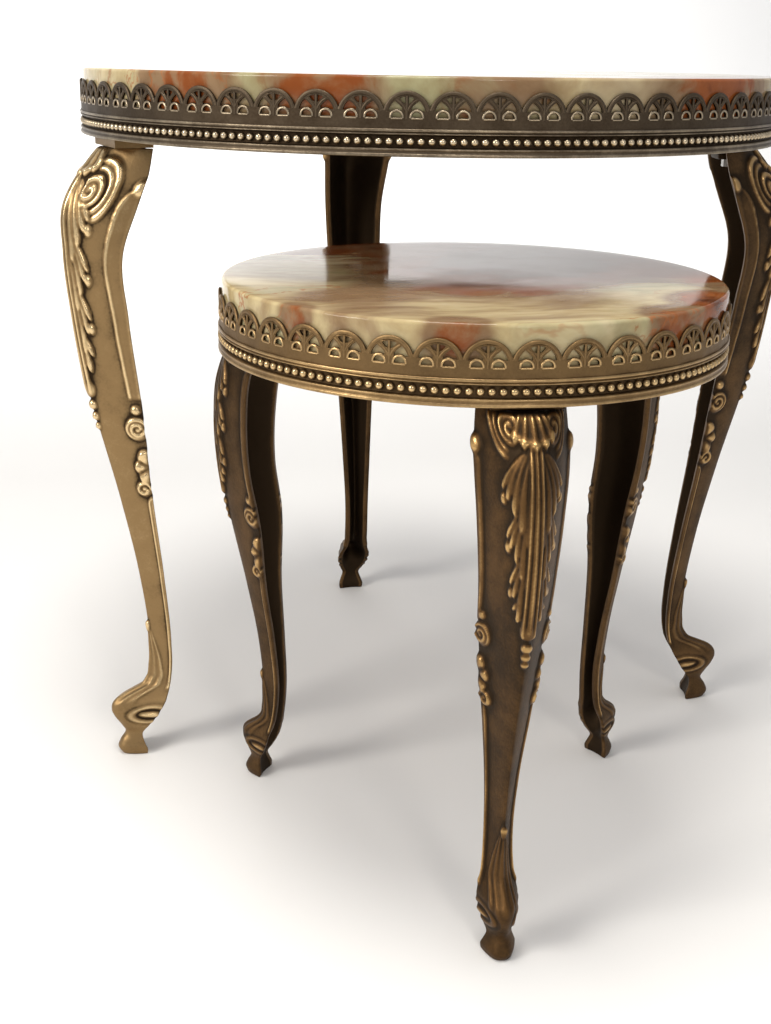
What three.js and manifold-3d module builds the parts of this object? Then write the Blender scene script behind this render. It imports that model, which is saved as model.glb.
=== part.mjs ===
// A nest of two round side tables. Each has a polished stone slab in a brass gallery rim, a plywood base
// board, and three cast brass cabriole legs bolted up through steel plates. Millimetres, +Z up.
// The origin is on the floor, under the middle of the nest's bounding box, and the nest opens towards -Y.

import * as THREE from "three";
import { mergeVertices } from "three/addons/utils/BufferGeometryUtils.js";
import Module from "manifold-3d";

const wasm = await Module();
wasm.setup();

// ---- Driving dimensions ----

const GAP = 0.3; // between pieces that touch
const APRON = 44; // underside of the rim to the face of the stone
const STONE = 24; // slab thickness
const STONE_INSET = 2.7; // slab edge, in from the table's radius
const STONE_EASE = 2; // rounded top edge of the slab
const FLANGE_WIDTH = 28; // inner flange of the rim
const FLANGE = 2; // its thickness
const RIM_WALL = 4.4; // inner face of the rim's wall, in from the table's radius
const BEAD_CHANNEL = [4.4, 12.2]; // heights of the groove that holds the beads
const BEAD_CHANNEL_DEPTH = 2.6;
const MOULDING_TOP = 15.4; // height of the moulding that the gallery stands on
const GALLERY_OUT = 0.9; // outer face of the gallery strip, in from the table's radius
const GALLERY_THICK = 1.5;
const ARCH_TOP = 36; // height of an arch's crown above the rim's underside
const ARCH_VALLEY = 26.2; // height where two arches meet
const ARCH_COLUMNS = 3; // facets of one arch: up, across and down

const PLATE_OUTER = 8; // outer edge of a leg plate, in from the radius
const BOLT = { radius: 3.9, hole: 4.3, head: 6.5, headHeight: 5.5, reach: 14 };
const SCREW = { radius: 1.9, hole: 2.3, head: 3.6, headHole: 4, reach: 12 };
const BOSS_HEIGHT = 9; // solid pad inside the top of a leg
const BOSS_HALF = 12;

const WALL = 4; // metal thickness of a leg casting
const NOSE = 1.35; // roundness of a leg's front edge: 1 is a sharp V
const LEG_LEVELS = 22; // sections along a leg

// A leg's stations from the floor up: height, radius of its front edge, radius of its two back edges,
// half width, and how deeply its back is hollowed, from 0 to 1.
const LARGE_LEG = [
  [0, 251, 234, 12, 0.08], // sole
  [6, 251, 235.5, 11, 0.08], // hoof
  [17, 247, 235.5, 8.5, 0.1], // pastern
  [29, 252, 226.5, 13.5, 0.3], // underside of the scroll
  [40, 256, 220.5, 15, 0.6], // scroll
  [50, 248, 215, 12.5, 0.8], // instep
  [59, 229, 212, 10.5, 1],
  [85, 225, 210.5, 10, 1], // ankle
  [143, 230.5, 215, 12.3, 1], // calf
  [203, 242, 222, 15.5, 1], // shin
  [280, 259.5, 229.5, 20, 1],
  [340, 268, 237, 24, 1],
  [385, 271.5, 239.5, 26, 1], // knee
  [416, 269.5, 229, 28.5, 1], // brow
  [436, 257.5, 221.5, 30, 1],
  [452.7, 245, 217.5, 29, 1], // top
];
const SMALL_LEG = [
  [0, 162, 148, 10, 0.08],
  [5, 161.5, 149.5, 9.5, 0.08],
  [13, 159, 149, 8.2, 0.1],
  [24, 163, 144, 12, 0.3],
  [33, 164.5, 141, 13, 0.6],
  [42, 157, 138, 10.5, 0.8],
  [52, 149.5, 135, 8.2, 1],
  [70, 148.6, 133.5, 7.8, 1],
  [110, 152.5, 135.5, 9.4, 1],
  [150, 161, 139.5, 13.2, 1],
  [205, 174.5, 142, 19, 1],
  [240, 180.5, 148, 21, 1],
  [276, 182, 148.5, 23.5, 1],
  [305, 178, 145, 25.5, 1],
  [322, 170.5, 140, 26, 1],
  [337, 157.5, 136, 25, 1],
];

const TABLES = [
  {
    name: "large",
    radius: 250,
    height: 503,
    arches: 60,
    facets: 56,
    leg: LARGE_LEG,
    legs: { front_left: -167.4, front_right: -12.6, back: 90 }, // degrees round the table
    plateInner: 34, // inner edge of a leg plate, in from the radius
    plateHalf: 25,
    plateThick: 5.7,
    sink: 2.5, // depth of the recess for a screw head
    screwOffset: 18,
    centre: [0, 0],
    turn: 0,
  },
  {
    name: "small",
    radius: 158.3,
    height: 384,
    arches: 38,
    facets: 44,
    leg: SMALL_LEG,
    legs: { front: -90, right: 30, left: 150 },
    plateInner: 28,
    plateHalf: 20,
    plateThick: 2.4,
    sink: 1.7,
    screwOffset: 15,
    centre: [-20.5, -192.2], // drawn most of the way out of the nest
    turn: -5.6,
  },
];

const FINISH = {
  stone: new THREE.MeshStandardMaterial({ color: 0xc9b08a, roughness: 0.12, metalness: 0 }),
  brass: new THREE.MeshStandardMaterial({ color: 0x8a6a3c, roughness: 0.38, metalness: 1 }),
  board: new THREE.MeshStandardMaterial({ color: 0x9a7650, roughness: 0.8, metalness: 0 }),
  steel: new THREE.MeshStandardMaterial({ color: 0x5b4a38, roughness: 0.5, metalness: 1 }),
  zinc: new THREE.MeshStandardMaterial({ color: 0x9c9a93, roughness: 0.4, metalness: 1 }),
};

// ---- Solids ----

const degrees = THREE.MathUtils.degToRad;

function toSolid(geometry) {
  const bare = geometry.clone();
  bare.deleteAttribute("normal");
  bare.deleteAttribute("uv");
  const merged = mergeVertices(bare, 1e-4);
  return new wasm.Manifold(
    new wasm.Mesh({
      numProp: 3,
      vertProperties: merged.attributes.position.array,
      triVerts: new Uint32Array(merged.index.array),
    }),
  );
}

function toGeometry(solid) {
  const mesh = solid.getMesh();
  const geometry = new THREE.BufferGeometry();
  geometry.setAttribute("position", new THREE.BufferAttribute(new Float32Array(mesh.vertProperties), 3));
  geometry.setIndex(new THREE.BufferAttribute(new Uint32Array(mesh.triVerts), 1));
  return geometry;
}

function cut(geometry, cutters) {
  return toGeometry(cutters.reduce((solid, cutter) => solid.subtract(toSolid(cutter)), toSolid(geometry)));
}

// A body turned about +Z from (radius, height) points that run up its outside.
function turned(points, facets) {
  const profile = points.map(([radius, height]) => new THREE.Vector2(radius, height));
  return new THREE.LatheGeometry(profile, facets).rotateX(Math.PI / 2);
}

// An upright cylinder from one height to another.
function rod(radius, low, high, sides = 8) {
  const geometry = new THREE.CylinderGeometry(radius, radius, high - low, sides).rotateX(Math.PI / 2);
  return geometry.translate(0, 0, (low + high) / 2);
}

// A closed skin over rings of points, all with the same number of points, stacked upwards.
function loft(rings) {
  const count = rings[0].length;
  const positions = rings.flat(2);
  const faces = [];
  for (let level = 0; level < rings.length - 1; level += 1) {
    for (let i = 0; i < count; i += 1) {
      const next = (i + 1) % count;
      const [a, b] = [level * count + i, level * count + next];
      const [c, d] = [b + count, a + count];
      faces.push(a, b, c, a, c, d);
    }
  }
  const capOf = (ring) =>
    THREE.ShapeUtils.triangulateShape(ring.map(([x, y]) => new THREE.Vector2(x, y)), []);
  const top = (rings.length - 1) * count;
  capOf(rings[0]).forEach(([a, b, c]) => faces.push(a, c, b));
  capOf(rings[rings.length - 1]).forEach(([a, b, c]) => faces.push(top + a, top + b, top + c));
  const geometry = new THREE.BufferGeometry();
  geometry.setAttribute("position", new THREE.Float32BufferAttribute(positions, 3));
  geometry.setIndex(faces);
  return geometry;
}

// ---- Pieces of one table ----

function stoneSlab(table) {
  const edge = table.radius - STONE_INSET;
  const top = table.height;
  const bottom = top - STONE;
  return turned(
    [
      [0, bottom],
      [edge - 0.5, bottom],
      [edge, bottom + 0.5],
      [edge, top - STONE_EASE],
      [edge - STONE_EASE * 0.3, top - STONE_EASE * 0.3],
      [edge - STONE_EASE, top],
      [0, top],
    ],
    table.facets,
  );
}

function rim(table) {
  const edge = table.radius;
  const base = table.height - APRON;
  const groove = edge - BEAD_CHANNEL_DEPTH;
  const [low, high] = BEAD_CHANNEL;
  const back = edge - GALLERY_OUT - GALLERY_THICK - GAP;
  const lip = APRON - STONE - GAP;
  return turned(
    [
      [edge - FLANGE_WIDTH, 0],
      [edge, 0],
      [edge, low - 0.6],
      [groove, low],
      [groove, high],
      [edge, high + 0.6],
      [edge, MOULDING_TOP],
      [back, MOULDING_TOP],
      [back, lip],
      [edge - RIM_WALL, lip],
      [edge - RIM_WALL, FLANGE],
      [edge - FLANGE_WIDTH, FLANGE],
      [edge - FLANGE_WIDTH, 0],
    ],
    table.facets,
  ).translate(0, 0, base);
}

function board(table) {
  const edge = table.radius - RIM_WALL - GAP;
  const base = table.height - APRON;
  const low = FLANGE + GAP;
  const high = APRON - STONE - GAP;
  return turned([[0, low], [edge, low], [edge, high], [0, high]], table.facets).translate(0, 0, base);
}

// The gallery is a thin strip bent into a hoop, with a scalloped top edge.
function gallery(table) {
  const outer = table.radius - GALLERY_OUT;
  const inner = outer - GALLERY_THICK;
  const base = table.height - APRON;
  const columns = table.arches * ARCH_COLUMNS;
  const positions = [];
  const faces = [];
  for (let column = 0; column < columns; column += 1) {
    const valley = column % ARCH_COLUMNS === 0;
    const top = base + (valley ? ARCH_VALLEY : ARCH_TOP);
    const foot = base + MOULDING_TOP + GAP;
    const angle = (column / columns) * 2 * Math.PI;
    const [x, y] = [Math.cos(angle), Math.sin(angle)];
    [[outer, foot], [outer, top], [inner, top], [inner, foot]].forEach(([radius, z]) =>
      positions.push(radius * x, radius * y, z),
    );
    const next = ((column + 1) % columns) * 4;
    for (let side = 0; side < 4; side += 1) {
      const [a, b] = [column * 4 + side, column * 4 + ((side + 1) % 4)];
      const [c, d] = [next + ((side + 1) % 4), next + side];
      faces.push(a, c, b, a, d, c);
    }
  }
  const geometry = new THREE.BufferGeometry();
  geometry.setAttribute("position", new THREE.Float32BufferAttribute(positions, 3));
  geometry.setIndex(faces);
  return geometry;
}

// A leg's section at one level: a rounded V, open at the back, as points round its outline.
function legSection(height, front, back, half, hollow) {
  const depth = front - back;
  const hollowDepth = hollow * (depth - 1.2 * WALL);
  const vee = (share, width, length) => [back + length * (1 - Math.abs(share) ** NOSE), width * share, height];
  const outside = [-1, -0.66, -0.33, 0, 0.33, 0.66, 1].map((share) => vee(share, half, depth));
  const inside = [1, 0.5, 0, -0.5, -1].map((share) => vee(share, half - WALL, hollowDepth));
  return [...outside, ...inside];
}

// A leg stands in the plane y = 0, with +X pointing out of the table.
function leg(table) {
  const spline = (pick) => {
    const points = table.leg.map((station) => new THREE.Vector3(...pick(station)));
    return new THREE.CatmullRomCurve3(points, false, "catmullrom", 0.5);
  };
  const edges = spline(([height, front, back]) => [height, front, back]);
  const widths = spline(([, , , half, hollow]) => [half, hollow, 0]);
  const rings = Array.from({ length: LEG_LEVELS + 1 }, (_, level) => {
    const edge = edges.getPoint(level / LEG_LEVELS);
    const width = widths.getPoint(level / LEG_LEVELS);
    return legSection(edge.x, edge.y, edge.z, width.x, width.y);
  });
  const top = table.leg[table.leg.length - 1][0];
  const bossInner = table.radius - table.plateInner + 1;
  const bossOuter = table.radius - PLATE_OUTER;
  const boss = new THREE.BoxGeometry(bossOuter - bossInner, 2 * BOSS_HALF, BOSS_HEIGHT);
  boss.translate((bossInner + bossOuter) / 2, 0, top - BOSS_HEIGHT / 2);
  const solid = toSolid(loft(rings)).add(toSolid(boss));
  const hole = rod(BOLT.hole, top - 2 * BOSS_HEIGHT, top + 5).translate(boltRadius(table), 0, 0);
  return toGeometry(solid.subtract(toSolid(hole)));
}

const boltRadius = (table) => table.radius - (table.plateInner + PLATE_OUTER) / 2;
const plateTop = (table) => table.height - APRON - GAP;

function plate(table) {
  const depth = table.plateInner - PLATE_OUTER;
  const bottom = plateTop(table) - table.plateThick;
  const blank = new THREE.BoxGeometry(depth, 2 * table.plateHalf, table.plateThick);
  blank.translate(boltRadius(table), 0, bottom + table.plateThick / 2);
  const boltHole = rod(BOLT.hole, bottom - 1, bottom + table.plateThick + 1).translate(boltRadius(table), 0, 0);
  const screwHoles = [-1, 1].flatMap((side) =>
    [
      rod(SCREW.hole, bottom - 1, bottom + table.plateThick + 1),
      rod(SCREW.headHole, bottom - 1, bottom + table.sink),
    ].map((hole) => hole.translate(boltRadius(table), side * table.screwOffset, 0)),
  );
  return cut(blank, [boltHole, ...screwHoles]);
}

function bolt(table) {
  const seat = table.leg[table.leg.length - 1][0] - BOSS_HEIGHT - GAP;
  const end = table.height - APRON + BOLT.reach;
  const head = rod(BOLT.head, seat - BOLT.headHeight, seat, 6);
  const shank = rod(BOLT.radius, seat - 1, end);
  return toGeometry(toSolid(head).add(toSolid(shank))).translate(boltRadius(table), 0, 0);
}

function screw(table, side) {
  const bottom = plateTop(table) - table.plateThick;
  const end = table.height - APRON + SCREW.reach;
  const head = rod(SCREW.head, bottom, bottom + table.sink - GAP);
  const shank = rod(SCREW.radius, bottom + 0.5, end);
  const solid = toSolid(head).add(toSolid(shank));
  return toGeometry(solid).translate(boltRadius(table), side * table.screwOffset, 0);
}

// ---- Assembly ----

function mesh(name, geometry, finish) {
  const piece = new THREE.Mesh(geometry, finish);
  piece.name = name;
  return piece;
}

// Clearance holes for one leg's bolt and screws, in the table's own frame.
function fixingHoles(table, angle) {
  const [low, high] = [table.height - APRON - 1, table.height - STONE + 1];
  return [
    [BOLT.hole, 0],
    [SCREW.hole, -table.screwOffset],
    [SCREW.hole, table.screwOffset],
  ].map(([radius, offset]) =>
    rod(radius, low, high).translate(boltRadius(table), offset, 0).rotateZ(degrees(angle)),
  );
}

function buildTable(table) {
  const group = new THREE.Group();
  const named = (part) => `${table.name}_${part}`;
  const holes = Object.values(table.legs).flatMap((angle) => fixingHoles(table, angle));
  group.add(
    mesh(named("stone_top"), stoneSlab(table), FINISH.stone),
    mesh(named("gallery"), gallery(table), FINISH.brass),
    mesh(named("beaded_rim"), cut(rim(table), holes), FINISH.brass),
    mesh(named("base_board"), cut(board(table), holes), FINISH.board),
  );
  for (const [place, angle] of Object.entries(table.legs)) {
    const corner = new THREE.Group();
    corner.rotation.z = degrees(angle);
    corner.add(
      mesh(named(`${place}_leg`), leg(table), FINISH.brass),
      mesh(named(`${place}_leg_plate`), plate(table), FINISH.steel),
      mesh(named(`${place}_leg_bolt`), bolt(table), FINISH.zinc),
      mesh(named(`${place}_plate_screw_1`), screw(table, -1), FINISH.zinc),
      mesh(named(`${place}_plate_screw_2`), screw(table, 1), FINISH.zinc),
    );
    group.add(corner);
  }
  group.position.set(...table.centre, 0);
  group.rotation.z = degrees(table.turn);
  return group;
}

const nest = new THREE.Group();
nest.add(...TABLES.map(buildTable));
nest.updateMatrixWorld(true);
const middle = new THREE.Box3().setFromObject(nest, true).getCenter(new THREE.Vector3());
nest.position.set(-middle.x, -middle.y, 0);

export default nest;
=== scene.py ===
"""A nest of two round side tables: onyx slabs in pierced brass rims on cast brass cabriole legs."""

import math

import bmesh
import bpy
import numpy as np
from mathutils import Matrix, Vector


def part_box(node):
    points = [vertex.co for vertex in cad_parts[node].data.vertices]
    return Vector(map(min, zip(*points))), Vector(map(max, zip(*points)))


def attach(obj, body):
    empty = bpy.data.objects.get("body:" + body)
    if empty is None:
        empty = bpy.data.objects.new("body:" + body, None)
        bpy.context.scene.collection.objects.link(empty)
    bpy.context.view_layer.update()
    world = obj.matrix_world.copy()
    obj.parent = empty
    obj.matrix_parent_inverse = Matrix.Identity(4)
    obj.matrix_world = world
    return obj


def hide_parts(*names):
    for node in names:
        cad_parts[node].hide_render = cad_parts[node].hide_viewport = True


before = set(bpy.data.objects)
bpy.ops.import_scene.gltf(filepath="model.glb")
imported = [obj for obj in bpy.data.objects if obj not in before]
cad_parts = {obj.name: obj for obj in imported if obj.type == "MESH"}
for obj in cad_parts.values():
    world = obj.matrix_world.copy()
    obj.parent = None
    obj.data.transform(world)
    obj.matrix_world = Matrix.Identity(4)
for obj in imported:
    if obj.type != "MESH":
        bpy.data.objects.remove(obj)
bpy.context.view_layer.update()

MM = 0.001

# Sizes in millimetres.
RIM_PROUD = 2.7  # rim's face beyond the slab's edge
BEAD_RADIUS = 2.45
BEAD_SEAT = 2.3  # bead centres in from the rim's face
BEAD_HEIGHT = 8.4  # bead centres above the rim's foot
GALLERY_INSET = 0.9  # gallery's outer face in from the rim's face
GALLERY_THICK = 1.3
GALLERY_DROP = 22.5  # y = 0 of the gallery's motif, below the slab's top
CAST_WALL = 3.4  # wall of a hollow leg

# A leg's grid of points: columns across its outside and its hollow, and rows to a millimetre of height.
OUTER_COLUMNS, INNER_COLUMNS, ROWS_PER_MM = 121, 25, 1.15
HOLLOW_RELIEF, HOLLOW_RIM_RELIEF, PAD_RELIEF = -0.75, 0.1, -0.4

# ---- The two tables, as the frame gives them ----

LEGS = {"large": ("front_left", "front_right", "back"), "small": ("front", "right", "left")}
ARCHES = {"large": 60, "small": 38}
BEADS = {"large": 258, "small": 164}


class Table:
    """One table's place and size, in millimetres, read from its CAD nodes."""

    def __init__(self, name):
        self.name = name
        self.body = f"{name}_table"
        low, high = (np.array(corner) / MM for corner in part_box(self.node("stone_top")))
        self.centre = (low + high)[:2] / 2
        self.stone = (high - low)[0] / 2
        self.top = high[2]
        self.stone_base = low[2]
        self.radius = self.stone + RIM_PROUD
        self.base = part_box(self.node("beaded_rim"))[0][2] / MM
        self.legs = {leg: self.angle_of(leg) for leg in LEGS[name]}
        self.bolt = np.linalg.norm(self.bolt_place(LEGS[name][0]))
        self.leg_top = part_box(self.node(f"{LEGS[name][0]}_leg"))[1][2] / MM

    def node(self, part):
        """The name of one of this table's nodes."""
        return f"{self.name}_{part}"

    def bolt_place(self, leg):
        """Where a leg's bolt stands, from the table's middle."""
        low, high = (np.array(corner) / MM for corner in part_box(self.node(f"{leg}_leg_bolt")))
        return (low + high)[:2] / 2 - self.centre

    def angle_of(self, leg):
        """The direction of a leg from the table's middle."""
        x, y = self.bolt_place(leg)
        return math.atan2(y, x)


# ---- Meshes from arrays ----


def mesh_object(name, points, faces, material, relief=None):
    """A smooth-shaded mesh from points in millimetres, with an optional relief value at each point."""
    mesh = bpy.data.meshes.new(name)
    mesh.from_pydata((np.asarray(points) * MM).tolist(), [], faces)
    mesh.update()
    if relief is not None:
        layer = mesh.attributes.new("relief", "FLOAT", "POINT")
        layer.data.foreach_set("value", np.asarray(relief, dtype=np.float32))
    tidy_faces(mesh)
    mesh.materials.append(material)
    thing = bpy.data.objects.new(name, mesh)
    bpy.context.scene.collection.objects.link(thing)
    return thing


def tidy_faces(mesh):
    """Turns every face outwards and shades it smooth."""
    sheet = bmesh.new()
    sheet.from_mesh(mesh)
    bmesh.ops.recalc_face_normals(sheet, faces=sheet.faces)
    sheet.to_mesh(mesh)
    sheet.free()
    mesh.shade_smooth()


def grid_faces(rows, columns, wrap_rows=False):
    """Quads over a rows x columns grid of points whose columns run in a loop."""
    faces = []
    for row in range(rows if wrap_rows else rows - 1):
        for column in range(columns):
            here, below = row * columns, (row + 1) % rows * columns
            right = (column + 1) % columns
            faces.append((here + column, here + right, below + right, below + column))
    return faces


def capped_faces(rows, columns):
    """A looped grid closed by one face over its first row and one over its last."""
    last = (rows - 1) * columns
    caps = [tuple(range(columns))[::-1], tuple(range(last, last + columns))]
    return grid_faces(rows, columns) + caps


def rounded(profile, radius, steps=4):
    """A closed (radius, height) outline with each of its corners rounded by up to radius."""
    profile = np.array(profile, dtype=float)
    out = []
    for i, corner in enumerate(profile):
        before, after = profile[i - 1], profile[(i + 1) % len(profile)]
        reach = min(radius, 0.45 * np.linalg.norm(corner - before), 0.45 * np.linalg.norm(after - corner))
        start = corner + (before - corner) * reach / np.linalg.norm(before - corner)
        end = corner + (after - corner) * reach / np.linalg.norm(after - corner)
        for t in (i / steps for i in range(steps + 1)):
            out.append((1 - t) ** 2 * start + 2 * t * (1 - t) * corner + t**2 * end)
    return np.array(out)


def ring_mesh(name, table, profile, material, segments, relief):
    """A closed outline turned about the table's axis, with a relief value for each outline point."""
    angles = np.linspace(0, 2 * np.pi, segments, endpoint=False)
    radius, height = profile[:, 0], profile[:, 1]
    points = np.stack(
        [
            table.centre[0] + np.outer(radius, np.cos(angles)),
            table.centre[1] + np.outer(radius, np.sin(angles)),
            np.repeat(height[:, None], segments, axis=1),
        ],
        axis=-1,
    ).reshape(-1, 3)
    faces = grid_faces(len(profile), segments, wrap_rows=True)
    return mesh_object(name, points, faces, material, np.repeat(relief, segments))


# ---- Shader groups ----


def link(tree, source, target):
    tree.links.new(source, target)


def group_tree(name, inputs, outputs):
    """A shader group with the given sockets, plus its input and output nodes."""
    tree = bpy.data.node_groups.new(name, "ShaderNodeTree")
    kinds = {"float": "NodeSocketFloat", "color": "NodeSocketColor", "vector": "NodeSocketVector"}
    for label, kind, value in inputs:
        socket = tree.interface.new_socket(label, in_out="INPUT", socket_type=kinds[kind])
        if value is not None:
            socket.default_value = value
    for label, kind in outputs:
        tree.interface.new_socket(label, in_out="OUTPUT", socket_type=kinds[kind])
    return tree, tree.nodes.new("NodeGroupInput"), tree.nodes.new("NodeGroupOutput")


def noise(tree, vector, scale, detail, roughness, distortion=0.0):
    """A noise texture's node, from which callers take Fac or Color."""
    node = tree.nodes.new("ShaderNodeTexNoise")
    node.inputs["Scale"].default_value = scale
    node.inputs["Detail"].default_value = detail
    node.inputs["Roughness"].default_value = roughness
    node.inputs["Distortion"].default_value = distortion
    link(tree, vector, node.inputs["Vector"])
    return node


def ramp(tree, value, low, high, out_low=0.0, out_high=1.0):
    """Value between low and high, carried smoothly to between out_low and out_high."""
    node = tree.nodes.new("ShaderNodeMapRange")
    node.interpolation_type = "SMOOTHSTEP"
    for label, number in (("From Min", low), ("From Max", high), ("To Min", out_low), ("To Max", out_high)):
        node.inputs[label].default_value = number
    link(tree, value, node.inputs["Value"])
    return node.outputs["Result"]


def blend(tree, factor, first, second, mode="MIX"):
    """Two colours mixed. Each is a socket or a plain colour; factor is a socket or a number."""
    node = tree.nodes.new("ShaderNodeMix")
    node.data_type = "RGBA"
    node.blend_type = mode
    for socket, value in ((node.inputs[0], factor), (node.inputs[6], first), (node.inputs[7], second)):
        if isinstance(value, bpy.types.NodeSocket):
            link(tree, value, socket)
        else:
            socket.default_value = value
    return node.outputs[2]


def maths(tree, kind, first, second=None):
    """The result of one Math node. Each value is a socket or a number."""
    node = tree.nodes.new("ShaderNodeMath")
    node.operation = kind
    for socket, value in zip(node.inputs, (first, second)):
        if isinstance(value, bpy.types.NodeSocket):
            link(tree, value, socket)
        elif value is not None:
            socket.default_value = value
    return node.outputs[0]


def cast_grain_group():
    """Colour, roughness and height of antiqued cast brass: dark in recesses, bright on ridges, where the
    brightness is partly rubbed metal and partly a painted highlight.
    """
    tree, given, out = group_tree(
        "antiqued_casting_with_highlight",
        [
            ("Dark", "color", (0.05, 0.03, 0.015, 1)),
            ("Middle", "color", (0.25, 0.16, 0.06, 1)),
            ("Bright", "color", (0.7, 0.5, 0.22, 1)),
            ("Wear and highlight", "float", 0.5),
            ("Relief", "float", 0.0),
            ("Grain", "float", 1.0),
        ],
        [("Color", "color"), ("Roughness", "float"), ("Height", "float")],
    )
    where = object_place(tree)
    broad = noise(tree, where, 14.0, 3.0, 0.5).outputs["Fac"]
    cloud = noise(tree, where, 70.0, 5.0, 0.6).outputs["Fac"]
    speck = noise(tree, where, 620.0, 3.0, 0.6).outputs["Fac"]
    pits = noise(tree, where, 1500.0, 2.0, 0.6).outputs["Fac"]
    uneven = maths(tree, "ADD", maths(tree, "MULTIPLY", cloud, 0.9), maths(tree, "MULTIPLY", speck, 0.5))
    uneven = maths(tree, "SUBTRACT", uneven, 0.7)
    # Raised relief and the base wear level push the colour to its bright end: rubbed metal, and partly a
    # painted highlight on the ridges.
    rubbed_and_highlight = maths(tree, "ADD", maths(tree, "MULTIPLY", given.outputs["Relief"], 0.8), given.outputs["Wear and highlight"])
    rubbed_and_highlight = maths(tree, "ADD", rubbed_and_highlight, maths(tree, "MULTIPLY", uneven, 0.55))
    rubbed_and_highlight = maths(tree, "ADD", rubbed_and_highlight, maths(tree, "MULTIPLY", maths(tree, "SUBTRACT", broad, 0.5), 0.5))
    color = blend(tree, ramp(tree, rubbed_and_highlight, 0.0, 0.5), given.outputs["Dark"], given.outputs["Middle"])
    color = blend(tree, ramp(tree, rubbed_and_highlight, 0.5, 1.15), color, given.outputs["Bright"])
    link(tree, color, out.inputs["Color"])
    dull = ramp(tree, rubbed_and_highlight, 0.0, 1.2, 0.58, 0.25)
    link(tree, maths(tree, "ADD", dull, maths(tree, "MULTIPLY", uneven, 0.12)), out.inputs["Roughness"])
    bumps = maths(tree, "ADD", maths(tree, "MULTIPLY", speck, 0.7), maths(tree, "MULTIPLY", pits, 0.4))
    link(tree, maths(tree, "MULTIPLY", bumps, given.outputs["Grain"]), out.inputs["Height"])
    return tree


def object_place(tree):
    """The place of a point on its object."""
    return tree.nodes.new("ShaderNodeTexCoord").outputs["Object"]


def new_material(name):
    """A material with its node tree and its main shader."""
    material = bpy.data.materials.new(name)
    material.use_nodes = True
    tree = material.node_tree
    return material, tree, tree.nodes["Principled BSDF"]


def roughen(tree, surface, height, strength, distance):
    """Lets a height field shape the surface's small bumps."""
    bump = tree.nodes.new("ShaderNodeBump")
    bump.inputs["Strength"].default_value = strength
    bump.inputs["Distance"].default_value = distance
    link(tree, height, bump.inputs["Height"])
    link(tree, bump.outputs["Normal"], surface.inputs["Normal"])


def brass(name, group, wear_and_highlight, grain, bright, middle, dark=(0.035, 0.022, 0.012, 1)):
    """Antiqued metal: dark, middle and bright run from its recesses to its ridges; the bright ridges are
    partly a painted highlight.
    """
    material, tree, surface = new_material(name)
    casting = tree.nodes.new("ShaderNodeGroup")
    casting.node_tree = group
    values = {"Dark": dark, "Middle": middle, "Bright": bright, "Wear and highlight": wear_and_highlight, "Grain": grain}
    for label, value in values.items():
        casting.inputs[label].default_value = value
    relief = tree.nodes.new("ShaderNodeAttribute")
    relief.attribute_name = "relief"
    link(tree, relief.outputs["Fac"], casting.inputs["Relief"])
    link(tree, casting.outputs["Color"], surface.inputs["Base Color"])
    link(tree, casting.outputs["Roughness"], surface.inputs["Roughness"])
    surface.inputs["Metallic"].default_value = 0.97
    roughen(tree, surface, casting.outputs["Height"], 0.5, 0.0004)
    return material


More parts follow.
